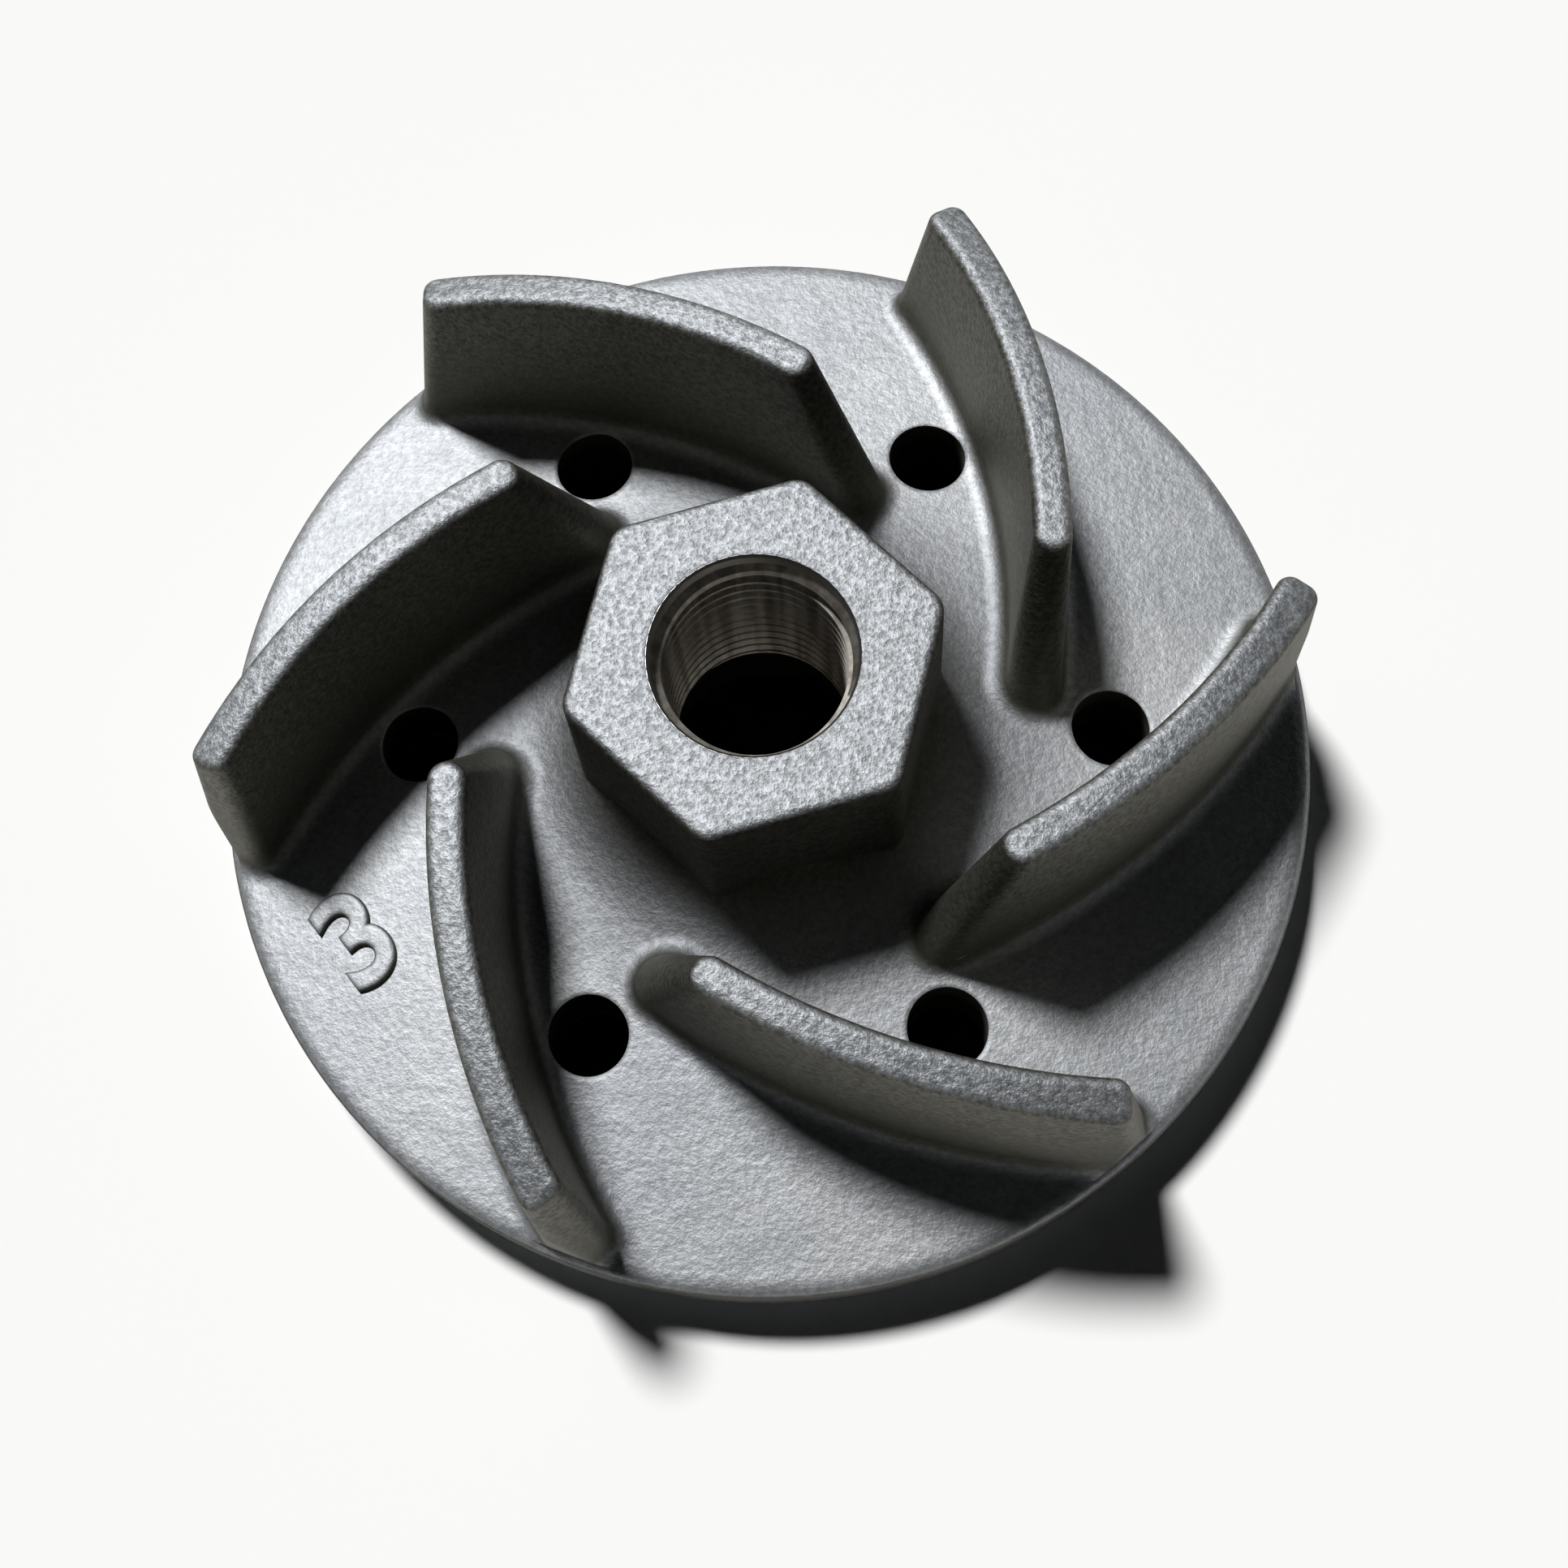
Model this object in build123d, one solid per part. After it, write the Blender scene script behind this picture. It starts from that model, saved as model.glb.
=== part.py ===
from build123d import *
import math
import os

# Pump impeller: one aluminium casting, semi-open, with backward-curved vanes on a round back disc.
# Frame: Z is the shaft axis and points from the back boss to the hexagon nose. The origin is the
# centre of the back boss face, on which the impeller rests. Sizes are in millimetres and degrees.

# ---- disc ----
rim_radius = 46.0
disc_thickness = 5.0           # at the rim
disc_cone_angle = 8.5          # how steeply the front face climbs from the rim to the hub
rim_front_radius = 0.6
rim_back_radius = 0.8

# ---- back boss: the face that seats on the shaft's shoulder ----
boss_radius = 17.0
boss_height = 2.5
boss_root_fillet = 1.0
boss_edge_chamfer = 0.5

# ---- hub: a hexagon for a wrench, rising out of a concave fairing ----
hex_across_flats = 27.2        # at the level of the rim's front face
hex_draft = 1.0
hex_corner_angle = 15.0        # from the X axis to the nearest corner
hex_corner_radius = 2.0
hex_top_radius = 0.7
hub_height = 22.3              # nose face above the rim's front face
fairing_radius = 9.0           # concave sweep from the disc face up to the hexagon
fairing_inset = 1.0            # how far the sweep runs in behind the hexagon's flats

# ---- shaft bore: M16 x 1.5 at its outer diameter, behind it a plain pilot ----
thread_radius = 8.0
thread_chamfer = 0.2
pilot_radius = 9.0
pilot_depth = 9.0              # from the back boss face
pilot_chamfer = 0.5

# ---- vanes: the centreline of each is one arc in plan, set by where it starts, the radii of its
# land's two ends and its angle to the direction of rotation at each end ----
vane_count = 6
vane_start_angle = 22.3        # plan angle of the first land's inner end
vane_inlet_angle = 23.7
vane_outlet_angle = 40.2
land_inner_radius = 25.0
land_outer_radius = 43.2
land_inner_height = 22.5       # above the rim's front face
land_outer_height = 18.1
land_crown_radius = 56.8       # bulge of the front contour, in section through the shaft axis
vane_top_thickness = 3.0
vane_draft = 2.6               # of each flank
vane_nose_rake = 18.3          # slope of the round inner end, from upright, along the vane
vane_end_rake = 10.0           # slope of the flat outer end
vane_end_corner_radius = 1.2   # of the outer end's two upright corners
vane_rim_gap = 0.1             # flat left between the vanes' feet and the rim's rounding
vane_edge_radius = 0.8
vane_root_fillet = 1.6

# ---- balance holes through the disc, one in each passage ----
hole_circle_radius = 29.0
hole_radius = 3.3
hole_first_angle = 0.0

# ---- what follows from these ----
disc_back_z = boss_height
rim_face_z = disc_back_z + disc_thickness
nose_z = rim_face_z + hub_height
vane_turned_radius = rim_radius - rim_front_radius - vane_rim_gap
vane_root_z = rim_face_z - disc_thickness / 2     # the vanes' flanks are drawn down to here
allowance = disc_thickness                        # cutters and rough shapes run past by this much
clear_z = rim_face_z + max(hub_height, land_inner_height) + allowance    # in front of everything


def polar(radius, angle):
    """Point in plan at a radius and an angle in degrees."""
    return Vector(radius * math.cos(math.radians(angle)), radius * math.sin(math.radians(angle)))


def slope(angle):
    """Rise over run of an angle in degrees."""
    return math.tan(math.radians(angle))


def face_z(radius):
    """Height of the disc's conical front face at a radius."""
    return rim_face_z + (rim_radius - radius) * slope(disc_cone_angle)


def turned_circles(part, radius, z):
    """Edges of a part that lie on a circle about the shaft axis."""
    on_circle = lambda edge: abs(edge.radius - radius) < 0.01 and abs(edge.arc_center.Z - z) < 0.01
    return part.edges().filter_by(GeomType.CIRCLE).filter_by(on_circle)


def rough_radius():
    """How far out the disc is drawn, past the rim and past the foot of every vane."""
    corners = vane_outline(vane_root_z).vertices()
    return max(rim_radius, *(math.hypot(corner.X, corner.Y) for corner in corners)) + allowance


def disc():
    """Rough disc with its conical face, hub fairing and back boss, drawn out past the rim."""
    top_radius = hex_across_flats / 2 - fairing_inset
    centre_radius = top_radius + fairing_radius
    toe = polar(fairing_radius, 270 - disc_cone_angle)
    halfway = polar(fairing_radius, (180 + 270 - disc_cone_angle) / 2)
    toe_radius = centre_radius + toe.X
    centre = Vector(centre_radius, face_z(toe_radius) - toe.Y)
    edge = rough_radius()
    with BuildPart() as rough:
        with BuildSketch(Plane.XZ):
            with BuildLine():
                Polyline(
                    (0, centre.Y),
                    (0, 0),
                    (boss_radius, 0),
                    (boss_radius, disc_back_z),
                    (edge, disc_back_z),
                    (edge, face_z(edge)),
                    centre + toe,
                )
                ThreePointArc(centre + toe, centre + halfway, (top_radius, centre.Y))
                Line((top_radius, centre.Y), (0, centre.Y))
            make_face()
        revolve(axis=Axis.Z)
        fillet(turned_circles(rough, boss_radius, disc_back_z), boss_root_fillet)
        chamfer(turned_circles(rough, boss_radius, 0), boss_edge_chamfer)
    return rough.part


def hex_nose():
    """Hexagon with drafted sides, rounded corners and a rounded top edge."""
    with BuildPart() as nose:
        with BuildSketch(Plane.XY.offset(rim_face_z)):
            RegularPolygon(hex_across_flats / 2, 6, major_radius=False, rotation=hex_corner_angle)
        extrude(amount=hub_height, taper=hex_draft)
        corners = nose.edges().filter_by(lambda edge: abs(edge.tangent_at(0.5).Z) > 0.9)
        fillet(corners, hex_corner_radius)
        fillet(nose.faces().sort_by(Axis.Z)[-1].edges(), hex_top_radius)
    return nose.part


def vane_arc():
    """Centre, radius and end directions of the first vane's centreline, between its land's ends."""
    inlet = math.radians(vane_inlet_angle)
    outlet = math.radians(vane_outlet_angle)
    inner_cosine = land_inner_radius * math.cos(inlet)
    outer_cosine = land_outer_radius * math.cos(outlet)
    radius = (land_outer_radius**2 - land_inner_radius**2) / (2 * (outer_cosine - inner_cosine))
    first = vane_start_angle - vane_inlet_angle
    centre = polar(land_inner_radius, vane_start_angle) - polar(radius, first)
    inner_turn = math.atan2(land_inner_radius * math.sin(inlet), radius - inner_cosine)
    outer_turn = math.atan2(land_outer_radius * math.sin(outlet), radius - outer_cosine)
    last = first + math.degrees(outer_turn - inner_turn)
    return centre, radius, first, last


def vane_outline(z):
    """Plan outline of the first vane at a height: two arcs, a round inner end, a flat outer end."""
    centre, radius, first, last = vane_arc()
    height = z - rim_face_z
    below = land_inner_height - height
    half = vane_top_thickness / 2 + below * slope(vane_draft)
    start = first - math.degrees(below * slope(vane_nose_rake) / radius)
    end = last + math.degrees((land_outer_height - height) * slope(vane_end_rake) / radius)
    middle = (start + end) / 2
    near = [centre + polar(radius - half, angle) for angle in (start, middle, end)]
    far = [centre + polar(radius + half, angle) for angle in (end, middle, start)]
    tip = centre + polar(radius, start) + polar(half, start - 90)
    with BuildSketch(Plane.XY.offset(z)) as outline:
        with BuildLine():
            ThreePointArc(*near)
            Line(near[-1], far[0])
            ThreePointArc(*far)
            ThreePointArc(far[-1], tip, near[0])
        make_face()
    return outline.sketch


def above_lands():
    """Everything in front of the vanes' lands: the front contour, revolved about the shaft axis."""
    inner = Vector(land_inner_radius, rim_face_z + land_inner_height)
    outer = Vector(land_outer_radius, rim_face_z + land_outer_height)
    chord = outer - inner
    reach = math.sqrt(land_crown_radius**2 - (chord.length / 2) ** 2)
    centre = (inner + outer) / 2 + Vector(chord.Y, -chord.X).normalized() * reach
    first = math.degrees(math.acos((rough_radius() - centre.X) / land_crown_radius))
    last = math.degrees(math.acos((hex_across_flats / 2 - centre.X) / land_crown_radius))
    with BuildPart() as space:
        with BuildSketch(Plane.XZ):
            with BuildLine():
                dome = CenterArc(centre, land_crown_radius, first, last - first)
                Polyline(dome @ 0, ((dome @ 0).X, clear_z), ((dome @ 1).X, clear_z), dome @ 1)
            make_face()
        revolve(axis=Axis.Z)
    return space.part


def vane():
    """The first vane: drafted flanks, sloping ends with rounded corners, a land with rounded edges."""
    crest_z = rim_face_z + land_inner_height + allowance / 2
    blade = loft([vane_outline(vane_root_z), vane_outline(crest_z)], ruled=True) - above_lands()
    upright = blade.edges().filter_by(lambda edge: abs(edge.tangent_at(0.5).Z) > 0.7)
    corners = upright.sort_by(lambda edge: math.hypot((edge @ 0.5).X, (edge @ 0.5).Y))[-2:]
    blade = blade.fillet(min(vane_end_corner_radius, 0.4 * vane_top_thickness), corners)
    land = blade.faces().filter_by(GeomType.REVOLUTION)[0]
    return blade.fillet(min(vane_edge_radius, 0.4 * vane_top_thickness), land.edges())


def shaft_bore():
    """Cutter for the pilot, the thread's plain bore and their chamfers, open past both ends."""
    past = allowance
    with BuildPart() as cutter:
        with BuildSketch(Plane.XZ):
            with BuildLine():
                Polyline(
                    (0, -past),
                    (pilot_radius + pilot_chamfer + past, -past),
                    (pilot_radius, pilot_chamfer),
                    (pilot_radius, pilot_depth),
                    (thread_radius, pilot_depth),
                    (thread_radius, nose_z - thread_chamfer),
                    (thread_radius + thread_chamfer + past, nose_z + past),
                    (0, nose_z + past),
                    close=True,
                )
            make_face()
        revolve(axis=Axis.Z)
    return cutter.part


def off_the_rim():
    """Cutter that turns the vanes' feet back from the rim, down to the disc's face."""
    inner, outer = vane_turned_radius, rim_radius + allowance
    with BuildPart() as cutter:
        with BuildSketch(Plane.XZ):
            with BuildLine():
                Polyline(
                    (inner, face_z(inner)),
                    (outer, face_z(outer)),
                    (outer, clear_z),
                    (inner, clear_z),
                    close=True,
                )
            make_face()
        revolve(axis=Axis.Z)
    return cutter.part


def impeller():
    """The whole casting: hub and vanes, root fillets, the turned rim, then the holes and the bore."""
    hub = disc() + hex_nose()
    vanes = PolarLocations(0, vane_count) * vane()
    casting = hub + vanes
    casting = casting.fillet(vane_root_fillet, new_edges(hub, *vanes, combined=casting))
    casting = (casting & Cylinder(rim_radius, 3 * clear_z)) - off_the_rim()
    casting = casting.fillet(rim_front_radius, turned_circles(casting, rim_radius, rim_face_z))
    casting = casting.fillet(rim_back_radius, turned_circles(casting, rim_radius, disc_back_z))
    holes = PolarLocations(hole_circle_radius, vane_count, start_angle=hole_first_angle)
    casting -= holes * Cylinder(hole_radius, 3 * clear_z)
    return casting - shaft_bore()


os.makedirs("parts", exist_ok=True)
export_step(impeller(), "parts/impeller.step")
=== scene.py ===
"""Looks of the pump impeller: a shot-blasted aluminium casting with a tapped bore.

Blender works in metres, in the frame of the CAD model: Z is the shaft axis, the back boss stands on
the floor at zero, and the hexagon nose points up. The named sizes are in millimetres and degrees.
"""
import math

import bmesh
import bpy
from mathutils import Matrix, Vector


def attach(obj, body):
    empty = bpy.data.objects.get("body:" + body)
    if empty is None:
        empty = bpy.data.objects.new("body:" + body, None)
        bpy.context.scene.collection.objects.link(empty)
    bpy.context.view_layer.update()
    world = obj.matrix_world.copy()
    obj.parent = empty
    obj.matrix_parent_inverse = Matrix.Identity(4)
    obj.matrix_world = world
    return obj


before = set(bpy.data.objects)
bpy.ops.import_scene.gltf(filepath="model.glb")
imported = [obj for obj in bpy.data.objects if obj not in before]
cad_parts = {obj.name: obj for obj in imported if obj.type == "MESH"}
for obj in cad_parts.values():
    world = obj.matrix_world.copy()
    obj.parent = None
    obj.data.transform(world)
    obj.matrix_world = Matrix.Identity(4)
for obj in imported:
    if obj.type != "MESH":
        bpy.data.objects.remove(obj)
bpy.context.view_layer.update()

MM = 0.001

# ---- sizes of the casting that the looks follow ----
RIM_RADIUS = 46.0
RIM_FACE_Z = 7.5
CONE_ANGLE = 8.5               # slope of the disc's face
DISC_TOP_Z = 13.0              # the disc's face ends below this
LANDS_Z = 22.0                 # the lands and the nose lie above this
NOSE_Z = 29.8
BORE_RADIUS = 8.0
BORE_MOUTH_RADIUS = 8.2
PILOT_RADIUS = 9.0
PILOT_DEPTH = 9.0
BOSS_RADIUS = 17.0
MACHINED_EDGE = 0.55           # chamfers of the boss face and the pilot
MARGIN = 0.05                  # how far past a machined wall its finish reaches

# ---- shot-blasted skin ----
SHOT_GRAIN = 0.55              # spacing of the shot's dents
DISC_DENT = 0.07               # their depth on the disc
PROUD_DENT = 0.12              # and on the nose and the lands, which the shot struck hardest
MOULD_RIPPLE = 2.4             # spacing of the mould's ripples under the dents
MOULD_DEPTH = 0.10
CLOUD = 16.0                   # spacing of the slow changes in how pale the shot left the disc
HUB_SHADE_START = 29.0             # past this the disc has no painted shade from the hub
HUB_SHADE_FULL = 19.0        # within this the hub's painted shade is full
GENTLE_NORMAL = 0.985          # upright part of the normal where a face is 10 degrees off level
STEEP_NORMAL = 0.50            # and where it is 60 degrees off
WALL_TOP = -0.8                # height above the rim's face at which the rim wall's darkest painted shade ends
SIDE_FOOT = 0.4                # and at which the lighter painted shade of the vanes' sides begins
SOFT_EDGE = 0.6                # radius that the eye sees on every cast edge
RIM_ROLL = 1.5                 # width of the rim's softly rolled edge
RIM_LEAN = 0.45                # outward part that is added to its unit normal at the very edge

# ---- machined and tapped faces ----
LATHE_FEED = 0.25              # spacing of the lathe tool's rings
LATHE_DEPTH = 0.02
TAP_STREAK = 1.1               # spacing of the oily streaks round the bore
TAP_STRETCH = 0.06             # that spacing as a share of their length down it
TAP_DEPTH = 0.04

# ---- M16 x 1.5 thread ----
THREAD_PITCH = 1.5
THREAD_CREST_RADIUS = 7.19
THREAD_CREST_FLAT = 0.375
THREAD_ROOT_WIDTH = 1.35
THREAD_SEAT = 0.03             # how far the ridge's root is set into the wall
THREAD_RUN_IN = 0.8            # plain wall between the nose face and the ridge
THREAD_END_SLOPE = 0.55        # how far the ridge's ends fall back, for each millimetre along the bore
THREAD_START_ANGLE = 134.0     # where its lower end lies, from the X axis; the upper end comes at -22
THREAD_STEPS = 144             # points in a turn
THREAD_SIZES = {               # inputs of its node tree: metres, and one slope
    "Wall Radius": BORE_RADIUS * MM,
    "Crest Radius": THREAD_CREST_RADIUS * MM,
    "Pitch": THREAD_PITCH * MM,
    "Root Width": THREAD_ROOT_WIDTH * MM,
    "Crest Flat": THREAD_CREST_FLAT * MM,
    "Seat": THREAD_SEAT * MM,
    "Bottom": PILOT_DEPTH * MM,
    "Top": (NOSE_Z - THREAD_RUN_IN) * MM,
    "End Slope": THREAD_END_SLOPE,
}

# ---- cavity number, raised on the disc ----
NUMBER = "3"
NUMBER_SIZE = 11.5
NUMBER_RADIUS = 37.6           # where its middle lies
NUMBER_ANGLE = -153.6
NUMBER_TURN = 128.0            # direction of its upright, from the X axis
NUMBER_BOLD = 0.35             # added all round its strokes
NUMBER_RAISED = 0.6
NUMBER_ROUND = 0.35            # radius of its edges
NUMBER_SUNK = 0.4              # how far it reaches into the disc
NUMBER_WELD = 0.001            # points nearer than this are one point

# ---- floor: white paper, with black painted shade where the part hides it, so that its holes look down on black ----
FLOOR_HALF = 12000.0
PAINTED_SHADE_RADIUS = 0.9 * RIM_RADIUS

# ---- room: upright part of a direction, from 0 on the horizon to 1 overhead ----
BACKDROP_FADES = 0.05
BACKDROP_ENDS = 0.30
OVERHEAD = 0.9

# ---- camera: its lens and its square sensor, and how far it is from where it looks ----
CAMERA_AZIMUTH = 5.10
CAMERA_ELEVATION = 72.93
CAMERA_ROLL = -6.20
CAMERA_DISTANCE = 190.37
CAMERA_TARGET = (1.54, -3.47, 7.5)
CAMERA_NEAREST = 5.0           # nothing nearer than this is seen
SENSOR = 36.0
LENS = 51.7006

# ---- sockets of a Mix node that mixes two colours ----
MIX_SHARE = 0
MIX_FROM = 6
MIX_TO = 7
MIXED = 2


def linear(hex_colour):
    """sRGB hex, such as #a0a0a0, as linear RGBA."""
    channels = [int(hex_colour[i:i + 2], 16) / 255 for i in (1, 3, 5)]
    return [c / 12.92 if c <= 0.04045 else ((c + 0.055) / 1.055) ** 2.4 for c in channels] + [1.0]


def add(tree, kind, inputs=None, **settings):
    """Adds a node with its settings. Each input is a plain value or the output that feeds it."""
    made = tree.nodes.new(kind)
    for name, value in settings.items():
        setattr(made, name, value)
    for socket, value in (inputs or {}).items():
        if isinstance(value, bpy.types.NodeSocket):
            tree.links.new(value, made.inputs[socket])
        else:
            made.inputs[socket].default_value = value
    return made


def per_mm(size):
    """Scale at which a pattern on metre coordinates repeats about every so many millimetres."""
    return 1 / (size * MM)


def about_axis(tree, place):
    """Height of a point, its place seen along the shaft axis, and its distance from that axis."""
    axes = add(tree, "ShaderNodeSeparateXYZ", {"Vector": place}).outputs
    in_plan = add(tree, "ShaderNodeCombineXYZ", {"X": axes["X"], "Y": axes["Y"]}).outputs["Vector"]
    radius = add(tree, "ShaderNodeVectorMath", {0: in_plan}, operation="LENGTH").outputs["Value"]
    return axes["Z"], in_plan, radius


def put_in_scene(made):
    bpy.context.scene.collection.objects.link(made)


# ------------------------------------------------------------------------------------ materials
def new_material(name):
    made = bpy.data.materials.new(name)
    made.use_nodes = True
    made.node_tree.nodes.clear()
    return made, made.node_tree


def rolled_edges(tree, in_plan, radius):
    """Normal with every edge softened, and leaning outwards more and more towards the rim's edge."""
    soft = add(tree, "ShaderNodeBevel", {"Radius": SOFT_EDGE * MM}, samples=6).outputs["Normal"]
    outward = add(tree, "ShaderNodeVectorMath", {0: in_plan}, operation="NORMALIZE").outputs["Vector"]
    roll = add(tree, "ShaderNodeMapRange", {
        "Value": radius, "From Min": (RIM_RADIUS - RIM_ROLL) * MM, "From Max": RIM_RADIUS * MM,
        "To Max": RIM_LEAN}).outputs["Result"]
    lean = add(tree, "ShaderNodeVectorMath", {
        0: outward, "Scale": roll}, operation="SCALE").outputs["Vector"]
    leant = add(tree, "ShaderNodeVectorMath", {0: soft, 1: lean}, operation="ADD").outputs["Vector"]
    return add(tree, "ShaderNodeVectorMath", {0: leant}, operation="NORMALIZE").outputs["Vector"]


def blasted_aluminium(tree, coordinates, height, in_plan, radius):
    """Cast aluminium, shot-blasted: matt cool grey with a fine bright and dark grain.

    The shot meets the disc squarely and leaves it pale. It meets the proud nose and lands hardest, so
    their grain is coarser. The steep sides are darkened by painted shade, darkest on the rim's wall,
    and the corner round the hub is darkened by painted shade too.
    """
    place = coordinates["Object"]
    upright = add(tree, "ShaderNodeSeparateXYZ", {"Vector": coordinates["Normal"]}).outputs["Z"]
    level = add(tree, "ShaderNodeMath", {0: upright}, operation="ABSOLUTE").outputs[0]

    # 0 on the disc to 1 on the nose and the lands, and 0 on level faces to 1 on steep ones
    proud = add(tree, "ShaderNodeMapRange", {
        "Value": height, "From Min": DISC_TOP_Z * MM, "From Max": LANDS_Z * MM}).outputs["Result"]
    steep = add(tree, "ShaderNodeMapRange", {
        "Value": level, "From Min": GENTLE_NORMAL, "From Max": STEEP_NORMAL},
        interpolation_type="SMOOTHSTEP").outputs["Result"]

    # dents of the shot, ripples of the mould under them, and slow clouds over the disc
    grain = add(tree, "ShaderNodeTexNoise", {
        "Vector": place, "Scale": per_mm(SHOT_GRAIN), "Detail": 2.0, "Roughness": 0.8}).outputs["Fac"]
    mould = add(tree, "ShaderNodeTexNoise", {
        "Vector": place, "Scale": per_mm(MOULD_RIPPLE), "Detail": 2.0, "Roughness": 0.6}).outputs["Fac"]
    cloud = add(tree, "ShaderNodeTexNoise", {
        "Vector": place, "Scale": per_mm(CLOUD), "Detail": 3.0, "Roughness": 0.6}).outputs["Fac"]

    # level faces: pale and clouded on the disc, darkened by painted shade near the hub, between the two
    # when proud
    clouded = add(tree, "ShaderNodeMapRange", {
        "Value": cloud, "From Min": 0.35, "From Max": 0.65}).outputs["Result"]
    clouded_disc = add(tree, "ShaderNodeMix", {
        MIX_SHARE: clouded, MIX_FROM: linear("#b0b3b7"), MIX_TO: linear("#bfc1c3")},
        data_type="RGBA").outputs[MIXED]
    # painted shade: the disc grows darker towards the hub
    painted_hub_shade = add(tree, "ShaderNodeMapRange", {
        "Value": radius, "From Min": HUB_SHADE_START * MM, "From Max": HUB_SHADE_FULL * MM},
        interpolation_type="SMOOTHSTEP").outputs["Result"]
    disc = add(tree, "ShaderNodeMix", {
        MIX_SHARE: painted_hub_shade, MIX_FROM: clouded_disc, MIX_TO: linear("#8e9093")},
        data_type="RGBA").outputs[MIXED]
    flat = add(tree, "ShaderNodeMix", {
        MIX_SHARE: proud, MIX_FROM: disc, MIX_TO: linear("#a1a4a7")},
        data_type="RGBA").outputs[MIXED]

    # steep faces: painted shade, darkest on the rim's wall
    off_rim = add(tree, "ShaderNodeMapRange", {
        "Value": height, "From Min": (RIM_FACE_Z + WALL_TOP) * MM,
        "From Max": (RIM_FACE_Z + SIDE_FOOT) * MM}).outputs["Result"]
    painted_side_shade = add(tree, "ShaderNodeMix", {
        MIX_SHARE: off_rim, MIX_FROM: linear("#4a4945"), MIX_TO: linear("#6a6961")},
        data_type="RGBA").outputs[MIXED]
    even = add(tree, "ShaderNodeMix", {
        MIX_SHARE: steep, MIX_FROM: flat, MIX_TO: painted_side_shade}, data_type="RGBA").outputs[MIXED]

    # the grain darkens and brightens them, more so where they are proud
    darkest = add(tree, "ShaderNodeMapRange", {
        "Value": proud, "To Min": 0.86, "To Max": 0.66}).outputs["Result"]
    palest = add(tree, "ShaderNodeMapRange", {
        "Value": proud, "To Min": 1.12, "To Max": 1.36}).outputs["Result"]
    speck = add(tree, "ShaderNodeMapRange", {
        "Value": grain, "From Min": 0.36, "From Max": 0.64,
        "To Min": darkest, "To Max": palest}).outputs["Result"]
    colour = add(tree, "ShaderNodeVectorMath", {
        0: even, "Scale": speck}, operation="SCALE").outputs["Vector"]

    dent = add(tree, "ShaderNodeMapRange", {
        "Value": proud, "To Min": DISC_DENT * MM, "To Max": PROUD_DENT * MM}).outputs["Result"]
    rippled = add(tree, "ShaderNodeBump", {
        "Height": mould, "Strength": 1.0, "Distance": MOULD_DEPTH * MM,
        "Normal": rolled_edges(tree, in_plan, radius)}).outputs["Normal"]
    dented = add(tree, "ShaderNodeBump", {
        "Height": grain, "Strength": 1.0, "Distance": dent, "Normal": rippled}).outputs["Normal"]
    return add(tree, "ShaderNodeBsdfPrincipled", {
        "Base Color": colour, "Metallic": 1.0, "Roughness": 0.64, "Normal": dented}).outputs["BSDF"]


def machined_aluminium(tree, height, radius):
    """Aluminium turned on a lathe: brighter and smoother, in fine rings across the face and the bore."""
    section = add(tree, "ShaderNodeCombineXYZ", {"X": radius, "Z": height}).outputs["Vector"]
    rings = add(tree, "ShaderNodeTexNoise", {
        "Vector": section, "Scale": per_mm(LATHE_FEED), "Detail": 2.0}).outputs["Fac"]
    ringed = add(tree, "ShaderNodeBump", {
        "Height": rings, "Strength": 1.0, "Distance": LATHE_DEPTH * MM}).outputs["Normal"]
    return add(tree, "ShaderNodeBsdfPrincipled", {
        "Base Color": linear("#b4b3b1"), "Metallic": 1.0, "Roughness": 0.34,
        "Normal": ringed}).outputs["BSDF"]


def machined_faces(tree, height, radius):
    """1 on the boss face, in the pilot and in the bore, and 0 on the rest of the casting."""
    machined = 0.0
    for top, reach in (
            (MACHINED_EDGE, BOSS_RADIUS),
            (PILOT_DEPTH + MARGIN, PILOT_RADIUS + MARGIN),
            (NOSE_Z + MARGIN, BORE_MOUTH_RADIUS)):
        below = add(tree, "ShaderNodeMath", {0: height, 1: top * MM}, operation="LESS_THAN").outputs[0]
        within = add(tree, "ShaderNodeMath", {0: radius, 1: reach * MM}, operation="LESS_THAN").outputs[0]
        face = add(tree, "ShaderNodeMath", {0: below, 1: within}, operation="MULTIPLY").outputs[0]
        machined = add(tree, "ShaderNodeMath", {0: machined, 1: face}, operation="MAXIMUM").outputs[0]
    return machined


def cast_aluminium():
    """The casting's finish: matt where it was shot-blasted, and brighter where it was machined after."""
    material, tree = new_material("shot_blasted_cast_aluminium")
    coordinates = add(tree, "ShaderNodeTexCoord").outputs
    height, in_plan, radius = about_axis(tree, coordinates["Object"])
    shader = add(tree, "ShaderNodeMixShader", {
        0: machined_faces(tree, height, radius),
        1: blasted_aluminium(tree, coordinates, height, in_plan, radius),
        2: machined_aluminium(tree, height, radius)})
    add(tree, "ShaderNodeOutputMaterial", {"Surface": shader.outputs["Shader"]})
    return material


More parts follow.
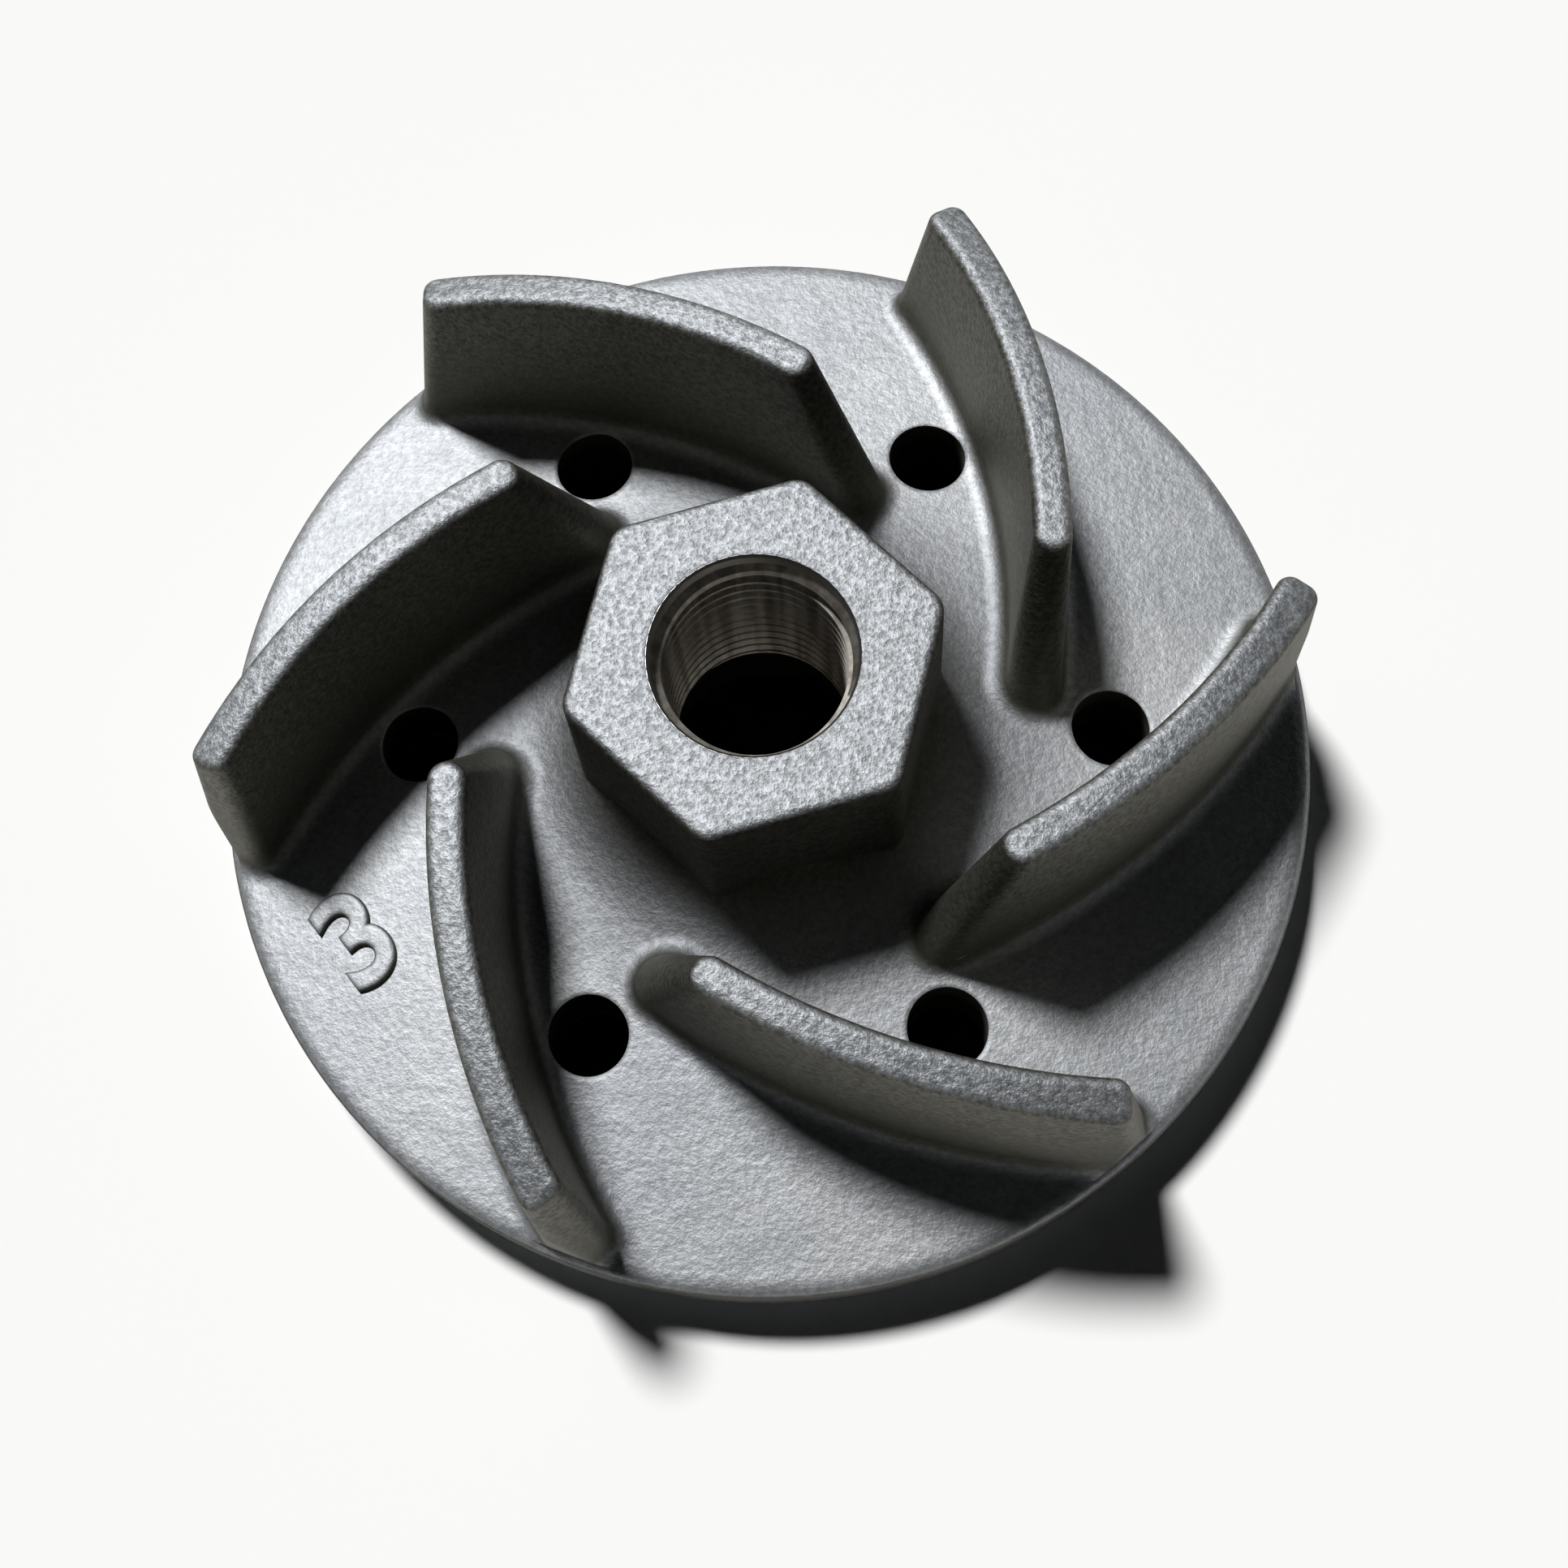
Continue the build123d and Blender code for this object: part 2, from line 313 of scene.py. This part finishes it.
def tapped_aluminium():
    """Aluminium cut by a tap: bare and smooth, dulled by oil, with streaks down the bore."""
    material, tree = new_material("tapped_aluminium")
    place = add(tree, "ShaderNodeTexCoord").outputs["Object"]
    drawn = add(tree, "ShaderNodeMapping", {
        "Vector": place, "Scale": (1.0, 1.0, TAP_STRETCH)}).outputs["Vector"]
    streaks = add(tree, "ShaderNodeTexNoise", {
        "Vector": drawn, "Scale": per_mm(TAP_STREAK), "Detail": 3.0}).outputs["Fac"]
    bare = add(tree, "ShaderNodeMapRange", {
        "Value": streaks, "From Min": 0.38, "From Max": 0.64}).outputs["Result"]
    colour = add(tree, "ShaderNodeMix", {
        MIX_SHARE: bare, MIX_FROM: linear("#b2aca3"), MIX_TO: linear("#ebe7df")},
        data_type="RGBA").outputs[MIXED]
    relief = add(tree, "ShaderNodeBump", {
        "Height": streaks, "Strength": 0.6, "Distance": TAP_DEPTH * MM}).outputs["Normal"]
    shader = add(tree, "ShaderNodeBsdfPrincipled", {
        "Base Color": colour, "Metallic": 1.0, "Roughness": 0.5, "Normal": relief})
    add(tree, "ShaderNodeOutputMaterial", {"Surface": shader.outputs["BSDF"]})
    return material


def studio_paper():
    """Matt white paper that keeps the part's shadow, with black painted shade under the part."""
    material, tree = new_material("white_paper_and_painted_shade")
    place = add(tree, "ShaderNodeTexCoord").outputs["Object"]
    out = add(tree, "ShaderNodeVectorMath", {0: place}, operation="LENGTH").outputs["Value"]
    # painted shade: black within this radius, under the part
    past_painted_shade = add(tree, "ShaderNodeMath", {
        0: out, 1: PAINTED_SHADE_RADIUS * MM}, operation="GREATER_THAN").outputs[0]
    colour = add(tree, "ShaderNodeMix", {
        MIX_SHARE: past_painted_shade, MIX_FROM: linear("#060606"), MIX_TO: linear("#fafaf9")},
        data_type="RGBA").outputs[MIXED]
    shader = add(tree, "ShaderNodeBsdfPrincipled", {
        "Base Color": colour, "Roughness": 0.9, "Specular IOR Level": 0.1})
    add(tree, "ShaderNodeOutputMaterial", {"Surface": shader.outputs["BSDF"]})
    return material


# --------------------------------------------------------------------------------------- pieces
def finished_mesh(carrier):
    """Plain mesh of what the carrier's text or modifiers make, after which the carrier goes."""
    put_in_scene(carrier)
    seen = carrier.evaluated_get(bpy.context.evaluated_depsgraph_get())
    mesh = bpy.data.meshes.new_from_object(seen)
    bpy.data.objects.remove(carrier)
    return mesh


def keep_piece(name, mesh):
    """Puts a finished mesh in the scene as part of the casting."""
    piece = bpy.data.objects.new(name, mesh)
    put_in_scene(piece)
    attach(piece, "root")


def face_z(radius):
    """Height of the disc's conical face."""
    return RIM_FACE_Z + (RIM_RADIUS - radius) * math.tan(math.radians(CONE_ANGLE))


def thread_tree(material):
    """Geometry Nodes: a ridge on a helix, cut back at both ends by a countersink.

    The spiral rises clockwise seen from the nose, so this ridge is left-hand, though the thread that it
    stands for is right-hand.
    """
    tree = bpy.data.node_groups.new("thread_ridge", "GeometryNodeTree")
    tree.interface.new_socket("Geometry", in_out="OUTPUT", socket_type="NodeSocketGeometry")
    for name in THREAD_SIZES:
        tree.interface.new_socket(name, in_out="INPUT", socket_type="NodeSocketFloat")
    given = add(tree, "NodeGroupInput").outputs

    # the helix runs along the middle of the ridge, half a root's width in from either end
    span = add(tree, "ShaderNodeMath", {
        0: given["Top"], 1: given["Bottom"]}, operation="SUBTRACT").outputs[0]
    length = add(tree, "ShaderNodeMath", {
        0: span, 1: given["Root Width"]}, operation="SUBTRACT").outputs[0]
    turns = add(tree, "ShaderNodeMath", {
        0: length, 1: given["Pitch"]}, operation="DIVIDE").outputs[0]
    root = add(tree, "ShaderNodeMath", {
        0: given["Wall Radius"], 1: given["Seat"]}, operation="ADD").outputs[0]
    depth = add(tree, "ShaderNodeMath", {
        0: root, 1: given["Crest Radius"]}, operation="SUBTRACT").outputs[0]
    half_depth = add(tree, "ShaderNodeMath", {0: depth, 1: 0.5}, operation="MULTIPLY").outputs[0]
    middle = add(tree, "ShaderNodeMath", {0: root, 1: half_depth}, operation="SUBTRACT").outputs[0]
    half_width = add(tree, "ShaderNodeMath", {
        0: given["Root Width"], 1: 0.5}, operation="MULTIPLY").outputs[0]
    first = add(tree, "ShaderNodeMath", {
        0: given["Bottom"], 1: half_width}, operation="ADD").outputs[0]
    helix = add(tree, "GeometryNodeCurveSpiral", {
        "Resolution": THREAD_STEPS, "Rotations": turns,
        "Start Radius": middle, "End Radius": middle, "Height": length}).outputs["Curve"]
    path = add(tree, "GeometryNodeSetCurveNormal", {"Curve": helix}, mode="Z_UP").outputs["Curve"]

    # the ridge's section, its crest turned towards the axis, is swept up the helix
    section = add(tree, "GeometryNodeCurvePrimitiveQuadrilateral", {
        "Bottom Width": given["Root Width"], "Top Width": given["Crest Flat"],
        "Height": depth, "Offset": 0.0}, mode="TRAPEZOID").outputs["Curve"]
    inward = add(tree, "GeometryNodeTransform", {
        "Geometry": section, "Rotation": (0.0, 0.0, math.radians(-90))}).outputs["Geometry"]
    swept = add(tree, "GeometryNodeCurveToMesh", {
        "Curve": path, "Profile Curve": inward, "Fill Caps": True}).outputs["Mesh"]
    lift = add(tree, "ShaderNodeCombineXYZ", {"Z": first}).outputs["Vector"]
    lifted = add(tree, "GeometryNodeTransform", {
        "Geometry": swept, "Translation": lift,
        "Rotation": (0.0, 0.0, math.radians(THREAD_START_ANGLE))}).outputs["Geometry"]

    # countersinks: a point near an end lies no nearer the axis than the root does, less the end slope
    # times how far in from that end the point is
    place = add(tree, "GeometryNodeInputPosition").outputs["Position"]
    height, in_plan, radius = about_axis(tree, place)
    outward = add(tree, "ShaderNodeVectorMath", {0: in_plan}, operation="NORMALIZE").outputs["Vector"]
    from_top = add(tree, "ShaderNodeMath", {
        0: given["Top"], 1: height}, operation="SUBTRACT").outputs[0]
    from_bottom = add(tree, "ShaderNodeMath", {
        0: height, 1: given["Bottom"]}, operation="SUBTRACT").outputs[0]
    inside = add(tree, "ShaderNodeMath", {
        0: from_top, 1: from_bottom}, operation="MINIMUM").outputs[0]
    sloped = add(tree, "ShaderNodeMath", {
        0: inside, 1: given["End Slope"]}, operation="MULTIPLY").outputs[0]
    least = add(tree, "ShaderNodeMath", {0: root, 1: sloped}, operation="SUBTRACT").outputs[0]
    short = add(tree, "ShaderNodeMath", {0: least, 1: radius}, operation="SUBTRACT").outputs[0]
    push = add(tree, "ShaderNodeMath", {0: short, 1: 0.0}, operation="MAXIMUM").outputs[0]
    away = add(tree, "ShaderNodeVectorMath", {
        0: outward, "Scale": push}, operation="SCALE").outputs["Vector"]
    sunk = add(tree, "GeometryNodeSetPosition", {"Geometry": lifted, "Offset": away}).outputs["Geometry"]

    crisp = add(tree, "GeometryNodeSetShadeSmooth", {
        "Geometry": sunk, "Shade Smooth": False}).outputs["Geometry"]
    real = add(tree, "GeometryNodeRealizeInstances", {"Geometry": crisp}).outputs["Geometry"]
    finish = add(tree, "GeometryNodeSetMaterial", {
        "Geometry": real, "Material": material}).outputs["Geometry"]
    add(tree, "NodeGroupOutput", {"Geometry": finish})
    return tree


def thread():
    """The tapped ridge in the bore, from the pilot's shoulder nearly to the mouth."""
    carrier = bpy.data.objects.new("thread_carrier", bpy.data.meshes.new("thread_carrier"))
    modifier = carrier.modifiers.new("thread", "NODES")
    modifier.node_group = thread_tree(tapped_aluminium())
    for item in modifier.node_group.interface.items_tree:
        if item.in_out == "INPUT":
            modifier[item.identifier] = THREAD_SIZES[item.name]
    keep_piece("thread_ridge", finished_mesh(carrier))


def cavity_number(material):
    """Raised number that lies on the cone of the disc's face."""
    text = bpy.data.curves.new("cavity_number", "FONT")
    text.body = NUMBER
    text.size = NUMBER_SIZE * MM
    text.align_x = "CENTER"
    text.align_y = "CENTER"
    text.extrude = ((NUMBER_RAISED + NUMBER_SUNK) / 2 - NUMBER_ROUND) * MM
    text.offset = (NUMBER_BOLD - NUMBER_ROUND) * MM
    text.bevel_depth = NUMBER_ROUND * MM
    text.bevel_resolution = 3
    mesh = finished_mesh(bpy.data.objects.new("number_carrier", text))
    mesh.materials.clear()
    mesh.materials.append(material)
    shell = bmesh.new()
    shell.from_mesh(mesh)
    bmesh.ops.remove_doubles(shell, verts=shell.verts, dist=NUMBER_WELD * MM)
    shell.to_mesh(mesh)
    shell.free()

    lift = Matrix.Translation((0, 0, (NUMBER_RAISED - NUMBER_SUNK) / 2 * MM))
    turn = Matrix.Rotation(math.radians(NUMBER_TURN - 90 - NUMBER_ANGLE), 4, "Z")
    tilt = Matrix.Rotation(math.radians(CONE_ANGLE), 4, "Y")
    out = Matrix.Translation((NUMBER_RADIUS * MM, 0, face_z(NUMBER_RADIUS) * MM))
    around = Matrix.Rotation(math.radians(NUMBER_ANGLE), 4, "Z")
    mesh.transform(around @ out @ tilt @ turn @ lift)
    keep_piece("cavity_number", mesh)


def casting():
    """The CAD solid in its cast skin, with its thread and its number."""
    finish = cast_aluminium()
    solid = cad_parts["impeller"]
    solid.data.materials.clear()
    solid.data.materials.append(finish)
    thread()
    cavity_number(finish)


# --------------------------------------------------------------------- floor, light and camera
def studio_floor():
    half = FLOOR_HALF * MM
    corners = [(-half, -half, 0), (half, -half, 0), (half, half, 0), (-half, half, 0)]
    mesh = bpy.data.meshes.new("studio_floor")
    mesh.from_pydata(corners, [], [(0, 1, 2, 3)])
    mesh.materials.append(studio_paper())
    floor = bpy.data.objects.new("studio_floor", mesh)
    put_in_scene(floor)


def sunlight(name, azimuth, elevation, spread, strength):
    """Even light from one side; a wider spread softens the shadows."""
    light = bpy.data.lights.new(name, "SUN")
    light.angle = math.radians(spread)
    light.energy = strength
    made = bpy.data.objects.new(name, light)
    turn = math.radians(azimuth)
    rise = math.radians(elevation)
    towards = Vector((math.cos(turn) * math.cos(rise), math.sin(turn) * math.cos(rise), math.sin(rise)))
    made.location = towards
    made.rotation_euler = towards.to_track_quat("Z", "Y").to_euler()
    put_in_scene(made)


def room():
    """Grey backdrop round the horizon, a dark room above it, and a little light overhead."""
    world = bpy.data.worlds.new("studio_room")
    bpy.context.scene.world = world
    world.use_nodes = True
    tree = world.node_tree
    tree.nodes.clear()
    way = add(tree, "ShaderNodeTexCoord").outputs["Generated"]
    up = add(tree, "ShaderNodeSeparateXYZ", {"Vector": way}).outputs["Z"]
    above = add(tree, "ShaderNodeMapRange", {
        "Value": up, "From Min": BACKDROP_FADES, "From Max": BACKDROP_ENDS},
        interpolation_type="SMOOTHSTEP").outputs["Result"]
    over = add(tree, "ShaderNodeMapRange", {
        "Value": up, "From Min": BACKDROP_ENDS, "From Max": OVERHEAD}).outputs["Result"]
    sides = add(tree, "ShaderNodeMix", {
        MIX_SHARE: above, MIX_FROM: linear("#38393a"), MIX_TO: linear("#080808")},
        data_type="RGBA").outputs[MIXED]
    colour = add(tree, "ShaderNodeMix", {
        MIX_SHARE: over, MIX_FROM: sides, MIX_TO: linear("#1a1b1c")},
        data_type="RGBA").outputs[MIXED]
    shine = add(tree, "ShaderNodeBackground", {"Color": colour, "Strength": 1.0})
    add(tree, "ShaderNodeOutputWorld", {"Surface": shine.outputs["Background"]})


def camera():
    """Looks down on the nose, turned a little on its own axis."""
    turn = math.radians(CAMERA_AZIMUTH)
    rise = math.radians(CAMERA_ELEVATION)
    roll = math.radians(CAMERA_ROLL)
    back = Vector((math.sin(turn) * math.cos(rise), -math.cos(turn) * math.cos(rise), math.sin(rise)))
    right = (-back).cross(Vector((0, 0, 1))).normalized()
    up = right.cross(-back)
    rolled_right = right * math.cos(roll) + up * math.sin(roll)
    rolled_up = up * math.cos(roll) - right * math.sin(roll)
    lens = bpy.data.cameras.new("camera")
    lens.sensor_width = SENSOR
    lens.lens = LENS
    lens.clip_start = CAMERA_NEAREST * MM
    made = bpy.data.objects.new("camera", lens)
    place = (Vector(CAMERA_TARGET) + back * CAMERA_DISTANCE) * MM
    facing = Matrix((rolled_right, rolled_up, back)).transposed().to_4x4()
    made.matrix_world = Matrix.Translation(place) @ facing
    put_in_scene(made)
    bpy.context.scene.camera = made


casting()
studio_floor()
sunlight("key_lamp", azimuth=124, elevation=62, spread=10, strength=3.5)
room()
camera()
bpy.context.scene.view_settings.view_transform = "Standard"
